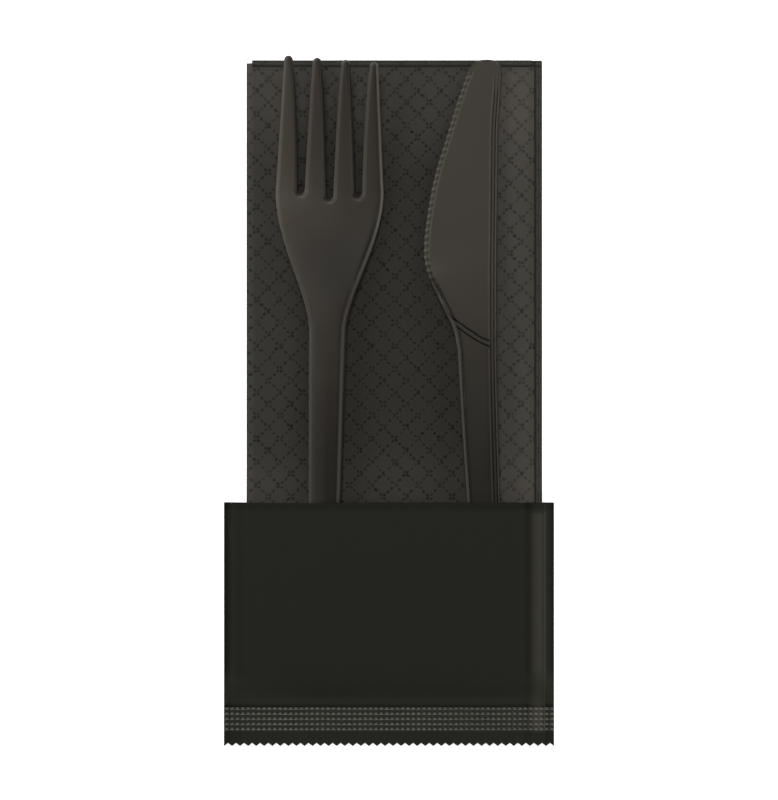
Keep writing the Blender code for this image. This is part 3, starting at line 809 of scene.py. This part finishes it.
    # painted highlights on the rims and ridges, painted shade in the grooves
    plain = 1 - ease((y - firstTooth) / 3.0)
    atHeel = bell(y, 104.5, 4.5)
    paintedLightShade = 0.42 * bell(offLeft, 0.45, 0.42) * plain * (1 - atHeel)
    paintedLightShade -= 0.75 * bell(offLeft, 0.85, 0.60) * atHeel
    paintedLightShade -= 0.5 * bell(offLeft, rimWidth + 0.35, 0.28) * tall
    for place, width, tone in k["backPaintedLight"]:
        paintedLightShade += fade * tone * bell(offRight, place, width)
    paintedLightShade -= 0.50 * bell(row, heel, 0.36) * acrossHeel
    paintedLightShade -= 0.36 * bell(row, lowGroove, 0.34) * ease((offLeft - rimWidth) / 0.3) * beforeBack
    # painted highlights on the bevel's lands and tooth crests, painted shade in its hollows
    paintedLandLight = 0.24 * ease((k["bevel"] - offLeft) / 0.3) + 0.22 * bell(offLeft, 1.50, 0.18)
    paintedCrestLight = 0.70 * bell(offLeft, 0.50, 0.25) * ease(0.1 - ripple)
    paintedHollowShade = 0.75 * bell(offLeft, 1.00, 0.24) * ease(0.1 + ripple)
    paintedLightShade += toothed * (paintedLandLight + paintedCrestLight - paintedHollowShade)
    # the rim of the heel runs on along the edge with a painted shadow line, and the blade is
    # painted darker above it
    paintedLightShade -= 1.10 * rimLine
    onFace = ease((offLeft - 1.8) / 0.8) * ease((offRight - 2.3) / 0.5)
    paintedLightShade -= 0.27 * bell(y, 103, 14) * onFace * slope ** 0.5
    keep = np.ones((len(x) - 1, len(rows) - 1), bool)
    faces, _ = shellFaces(keep, len(x), len(rows))
    pitch = math.atan2(k["lift"], k["length"] - k["mouth"])
    placed = turned(twoFaces(x, y, np.maximum(z, lower + 0.03), lower), pitch)
    placed += np.array(k["place"]) + (0, 0, math.tan(pitch) * k["mouth"])
    return meshPiece("knifeMoulding", placed * mm, faces, sharp=22, paintedLightShade=paintedLightShade)


knifeMoulding = makeKnife()
knifeMoulding.data.materials.append(plasticMaterial("knifePlastic", knife["colour"]))

print("pouch: film tube with a dented seal and a zigzag cut")
pouch = {
    "width": 92.4, "mouth": -27.85, "seal": -84.85, "bottom": -96.15, "film": 0.15, "gap": 0.06,
    "handlesEnd": -74.25, "lip": 0.20, "lipReach": 1.6, "mouthWave": 0.12,
    "teeth": 41, "toothDepth": 0.9, "beads": 61.93, "rows": 5, "firstRow": -84.52,
    "rowPitch": 1.44, "dent": 0.32, "fold": 0.35, "bandTop": 0.36, "bandGrid": (493, 95),
    "colour": (0.0122, 0.0128, 0.0097), "sealColour": (0.0092, 0.0101, 0.0073),
    "creaseHighlightColour": (0.0285, 0.0268, 0.0212),
    # zones of the film's colour in metres, most of them painted shade or painted highlight: where
    # each starts and where it is full
    "leftFold": (0.0402, 0.0424), "leftEdge": (0.0434, 0.0450), "rightEdge": (0.0436, 0.0439),
    "mouthEdge": (-0.0306, -0.0290), "plainStrip": (0.0917, 0.0924),
    "creaseHighlight": (0.0385, 0.0420), "creaseFade": (0.0421, 0.0432), "creaseEnd": (0.0436, 0.0438),
    "creaseTop": (0.0300, 0.0315), "creaseFoot": (-0.0928, -0.0910),
    # bands: start, full, fade and end
    "besideCrease": (0.0372, 0.0386, 0.0392, 0.0402),
    "creaseHighlightLine": (0.0432, 0.0434, 0.0436, 0.0438), "paintedSlopeLight": (0.0735, 0.0785, 0.0836, 0.0849),
}
# corner points (x, z) of the front film's middle, from the left fold to the right one
frontSection = np.array([
    (-45.95, 0.29), (-45.5, 0.36), (-44.9, 0.95), (-44.0, 2.2), (-43.0, 3.5), (-41.8, 4.55),
    (-40.0, 5.25), (-36.0, 5.95), (-30.0, 6.75), (-24.4, 7.55), (-20.4, 8.00), (-17.9, 8.03),
    (-14.4, 8.03), (-8.0, 7.95), (2.0, 7.82), (12.0, 7.70), (19.6, 7.61), (26.0, 7.50),
    (31.5, 7.38), (35.0, 7.00), (38.0, 6.45), (40.0, 5.85), (41.5, 5.15), (42.6, 4.35),
    (43.3, 3.60), (43.6, 3.10), (44.4, 1.75), (45.1, 0.75), (45.6, 0.34), (45.95, 0.29),
])


def makeFilmTube():
    p = pouch
    half = p["width"] / 2 - p["film"] / 2
    fold = (p["film"] + p["gap"]) / 2
    flat = 1.5 * p["film"] + p["gap"]
    spread = np.linspace(0, 1, len(frontSection))
    xs = np.interp(np.linspace(0, 1, 181), spread, frontSection[:, 0])
    zs = smoothTable(frontSection, xs)
    zs = np.minimum(zs, np.interp(xs, frontSection[:, 0], frontSection[:, 1]) + 0.1)
    # one ring round the tube: left fold, front, right fold, back
    turns = np.linspace(0, math.pi, 7)
    low = p["film"] / 2
    ring = [(-half + fold - fold * math.sin(t), low + fold - fold * math.cos(t)) for t in turns]
    lead = len(ring)
    ring += list(zip(xs, zs))
    tail = len(ring)
    ring += [(half - fold + fold * math.sin(t), low + fold + fold * math.cos(t)) for t in turns]
    ring += [(x, low) for x in np.linspace(half - fold, -half + fold, 24)[1:-1]]
    # stations down the tube, with the share of the height that the film still has
    shares = np.concatenate([[0, 0.004, 0.01, 0.02, 0.035, 0.06], np.linspace(0.1, 1, 16)])
    stations = [(mix(p["mouth"], p["handlesEnd"], share), 1.0) for share in shares]
    for share in np.linspace(0, 1, 16)[1:]:
        y = mix(p["handlesEnd"], p["seal"] - 0.3, share)
        stations.append((y, 1 - float(ease(share)) ** 0.9))
    points = []
    for n, (y, height) in enumerate(stations):
        depth = p["mouth"] - y
        for m, (x, z) in enumerate(ring):
            if lead <= m < tail:
                rise = min(max(z - flat, 0.0) / 3.0, 1.0)
                lip = p["lip"] * math.exp(-((depth / p["lipReach"]) ** 2)) * rise
                z = mix(flat, z, height * (1 - 0.06 * ease(depth / 46.0))) - lip
            if n == len(stations) - 1:
                z = mix(z, 0.18, 0.25)
                x -= math.copysign(0.03, x)
            wave = p["mouthWave"] * math.sin(x * 0.075 + 0.6) * math.exp(-depth / 3.0)
            points.append((x, y + wave, z))
    count = len(ring)
    faces = []
    for start in range(0, count * (len(stations) - 1), count):
        for m in range(count):
            a, b = start + m, start + (m + 1) % count
            faces.append((a, b, b + count, a + count))
    made = meshPiece("pouchFilm", np.array(points) * mm, faces, sharp=180)
    solid = made.modifiers.new("film", "SOLIDIFY")
    solid.thickness = p["film"] * mm
    solid.offset = 0.0
    return made


class Nodes:
    # builds a Geometry Nodes tree with the same idea as Wire
    def __init__(self, name):
        self.tree = bpy.data.node_groups.new(name, "GeometryNodeTree")
        kind = "NodeSocketGeometry"
        self.tree.interface.new_socket("Geometry", in_out="OUTPUT", socket_type=kind)
        self.start = self.tree.nodes.new("NodeGroupInput")
        self.names = {}

    def size(self, name, value, kind="NodeSocketFloat"):
        made = self.tree.interface.new_socket(name, in_out="INPUT", socket_type=kind)
        if kind != "NodeSocketMaterial":
            made.default_value = value
        self.names[made.identifier] = value
        return Wire(self.tree, self.start.outputs[name])

    def finish(self, wire):
        end = self.tree.nodes.new("NodeGroupOutput")
        self.tree.links.new(wire.socket, end.inputs["Geometry"])

    def plainMesh(self, name):
        # the tree's result as a plain mesh object
        holder = bpy.data.objects.new(name, bpy.data.meshes.new(name))
        kit.objects.link(holder)
        modifier = holder.modifiers.new("nodes", "NODES")
        modifier.node_group = self.tree
        for identifier, value in self.names.items():
            modifier[identifier] = value
        bpy.context.view_layer.update()
        graph = bpy.context.evaluated_depsgraph_get()
        mesh = bpy.data.meshes.new_from_object(holder.evaluated_get(graph))
        holder.modifiers.remove(modifier)
        holder.data = mesh
        return holder


def makeSealBand(material):
    p = pouch
    g = Nodes("sealBandNodes")
    width = g.size("Width", p["width"] * mm)
    low = g.size("Cut Edge", p["bottom"] * mm)
    high = g.size("Seal Line", p["seal"] * mm)
    teeth = g.size("Teeth", float(p["teeth"]))
    toothDepth = g.size("Tooth Depth", p["toothDepth"] * mm)
    beads = g.size("Dents Across", p["beads"])
    firstRow = g.size("First Row", p["firstRow"] * mm)
    rowPitch = g.size("Row Pitch", p["rowPitch"] * mm)
    rows = g.size("Rows", float(p["rows"]))
    dent = g.size("Dent Depth", p["dent"] * mm)
    fold = g.size("Dent Fold", p["fold"])
    finish = g.size("Material", material, "NodeSocketMaterial")
    w = width
    across, along = p["bandGrid"]
    grid = w.node("GeometryNodeMeshGrid", {}, {
        "Size X": width, "Size Y": high - low, "Vertices X": across, "Vertices Y": along,
    })
    spot = w.node("GeometryNodeInputPosition")
    x, y, _ = spot.apart()
    middle = (high + low) * 0.5
    y = y + middle
    # zigzag: the last rows of the grid follow the teeth
    place = (x + width * 0.5) / width
    saw = w.maths("PINGPONG", place * teeth, 0.5) * 2.0
    cut = 1 - (y - low).over(0.0, 2.6 * mm)
    moved = cut * saw * toothDepth
    # dents: upside-down pyramids with thin lands between them
    column = w.maths("PINGPONG", place * beads, 0.5) * 2.0
    rowPlace = (firstRow - y) / rowPitch
    within = w.maths("FRACT", rowPlace)
    line = (within / fold).atMost((1 - within) / (1 - fold))
    inside = w.maths("GREATER_THAN", rowPlace, 0.0) * w.maths("LESS_THAN", rowPlace, rows)
    depth = column.atMost(line * 1.15) * inside * dent
    level = p["bandTop"] * mm - depth
    offset = w.node("ShaderNodeCombineXYZ", {}, {0: 0.0, 1: moved + middle, 2: level})
    shaped = w.node("GeometryNodeSetPosition", {}, {"Geometry": grid, "Offset": offset})
    whole = w.node("GeometryNodeRealizeInstances", {}, {0: shaped})
    done = w.node("GeometryNodeSetMaterial", {}, {"Geometry": whole, "Material": finish})
    g.finish(done)
    made = g.plainMesh("pouchSeal")
    # a second film closes the band from below
    mesh = made.data
    work = bmesh.new()
    work.from_mesh(mesh)
    raised = bmesh.ops.extrude_face_region(work, geom=work.faces[:], use_keep_orig=True)
    for item in raised["geom"]:
        if isinstance(item, bmesh.types.BMVert):
            z = item.co.z
            z = min(z - 0.30 * mm, 0.12 * mm) if z < p["bandTop"] * mm else 0.0
            item.co.z = max(z, 0.0)
    bmesh.ops.recalc_face_normals(work, faces=work.faces)
    work.to_mesh(mesh)
    work.free()
    mesh.shade_smooth()
    mesh.set_sharp_from_angle(angle=math.radians(18))
    return made


def filmMaterial(name, paint, roughness, specular):
    p = pouch
    made, w, shader = newMaterial(name)
    spot = w.node("ShaderNodeTexCoord", out="Object")
    right, up, _ = spot.apart()
    left, down = 0.0 - right, 0.0 - up
    flow = spot.noise(55.0, 2.0)
    fine = spot.noise(900.0, 2.0)
    # painted shade at the side folds, at the mouth and beside the right bend
    edge = left.over(*p["leftFold"]) * 0.30 + left.over(*p["leftEdge"]) * 0.45
    edge = edge + right.over(*p["rightEdge"]) * 0.40 + up.over(*p["mouthEdge"]) * 0.42
    edge = edge + right.band(*p["besideCrease"]) * 0.35
    # the plain strip below the dents is darker and a little rough
    strip = down.over(*p["plainStrip"]) * ((fine - 0.5) * 0.8 + 0.20)
    tone = (flow - 0.5) * 0.06 + edge + strip
    colour = tone.blend(rgb(*paint), scaled(paint, 0.3))
    # painted highlight where the film bends down over the napkin's right edge, with a painted
    # highlight line at its outer edge
    creaseHighlight = right.over(*p["creaseHighlight"]) * (1 - right.over(*p["creaseFade"]) * 0.55)
    creaseHighlight = creaseHighlight * (1 - right.over(*p["creaseEnd"]))
    creaseHighlight = creaseHighlight.atLeast(right.band(*p["creaseHighlightLine"]) * 0.9)
    creaseHighlight = creaseHighlight * down.over(*p["creaseTop"]) * up.over(*p["creaseFoot"])
    colour = (creaseHighlight * 0.9).blend(colour, rgb(*p["creaseHighlightColour"]))
    # painted light: the film is painted paler on its slope down to the seal
    colour = (down.band(*p["paintedSlopeLight"]) * 0.38).blend(colour, scaled(paint, 2.0))
    join(colour, shader, "Base Color")
    join((flow - 0.5) * 0.12 + (fine - 0.5) * 0.08 + roughness, shader, "Roughness")
    join((flow + fine * 0.15).bump(0.12, 0.05), shader, "Normal")
    settle(shader, {"Specular IOR Level": specular, "Specular Tint": rgb(1.0, 0.96, 0.84)})
    return made


pouchFilm = makeFilmTube()
pouchFilm.data.materials.append(filmMaterial("filmBlack", pouch["colour"], 0.55, 0.03))
pouchSeal = makeSealBand(filmMaterial("sealBlack", pouch["sealColour"], 0.38, 0.20))

print("what rides on what")
for piece, slot in (
    (napkinSheet, "napkin_tissue"), (forkMoulding, "fork_plastic"),
    (knifeMoulding, "knife_plastic"), (pouchFilm, "pouch_film"), (pouchSeal, "pouch_film"),
):
    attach(piece, "root")
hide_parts("napkin")
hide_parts("fork")
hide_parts("knife")
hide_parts("pouch")
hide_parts("pouch")

print("studio: floor, soft lamps and the camera above")
stage = {
    "cameraHeight": 1.2, "cameraUp": 0.00072, "frameHeight": 0.224, "sensor": 24.0,
    "nearest": 0.01, "farthest": 20.0, "worldLevel": 0.22,
    "floorReach": 3.0, "floorLevel": -0.00008, "floorGrey": 0.80, "floorGlow": 0.55,
    # lamps: name, place, width and power
    "lamps": [
        ("mainLamp", (-0.15, 0.80, 1.30), 0.60, 17.0),
        ("leftLamp", (-0.85, 0.20, 0.50), 0.45, 5.0),
        ("rightLamp", (0.90, -0.05, 0.36), 0.40, 5.0),
        ("footLamp", (0.05, -0.90, 0.60), 0.40, 2.0),
    ],
}
corners = [
    (x * stage["floorReach"], y * stage["floorReach"], stage["floorLevel"])
    for x, y in ((-1, -1), (1, -1), (1, 1), (-1, 1))
]
floorMesh = bpy.data.meshes.new("floor")
floorMesh.from_pydata(corners, [], [(0, 1, 2, 3)])
floor = bpy.data.objects.new("floor", floorMesh)
studio.objects.link(floor)
floorPaint, w, shader = newMaterial("floorPaint")
settle(shader, {
    "Base Color": scaled((1, 1, 1), stage["floorGrey"]), "Roughness": 1.0,
    "Specular IOR Level": 0.0, "Emission Strength": stage["floorGlow"],
})
seen = w.node("ShaderNodeLightPath", out="Is Camera Ray")
for kind in ("Is Glossy Ray", "Is Transmission Ray"):
    seen = seen.atLeast(w.node("ShaderNodeLightPath", out=kind))
join(seen.blend(rgb(0, 0, 0), rgb(1, 1, 1)), shader, "Emission Color")
floor.data.materials.append(floorPaint)

world = bpy.data.worlds.new("softRoom")
bpy.context.scene.world = world
world.use_nodes = True
w = Wire(world.node_tree)
background = world.node_tree.nodes["Background"]
seen = w.node("ShaderNodeLightPath", out="Is Camera Ray")
join(seen.blend(scaled((1, 1, 1), stage["worldLevel"]), rgb(1, 1, 1)), background, "Color")
background.inputs["Strength"].default_value = 1.0

for name, place, size, power in stage["lamps"]:
    lamp = bpy.data.lights.new(name, "AREA")
    lamp.shape = "DISK"
    lamp.size = size
    lamp.energy = power
    lampObject = bpy.data.objects.new(name, lamp)
    studio.objects.link(lampObject)
    lampObject.location = place
    lampObject.rotation_euler = (-lampObject.location).to_track_quat("-Z", "Y").to_euler()

camera = bpy.data.cameras.new("topCamera")
camera.sensor_fit = "VERTICAL"
camera.sensor_height = stage["sensor"]
camera.lens = stage["sensor"] * stage["cameraHeight"] / stage["frameHeight"]
camera.clip_start = stage["nearest"]
camera.clip_end = stage["farthest"]
cameraObject = bpy.data.objects.new("topCamera", camera)
studio.objects.link(cameraObject)
cameraObject.location = (0.0, stage["cameraUp"], stage["cameraHeight"])
bpy.context.scene.camera = cameraObject
bpy.context.scene.view_settings.view_transform = "Standard"
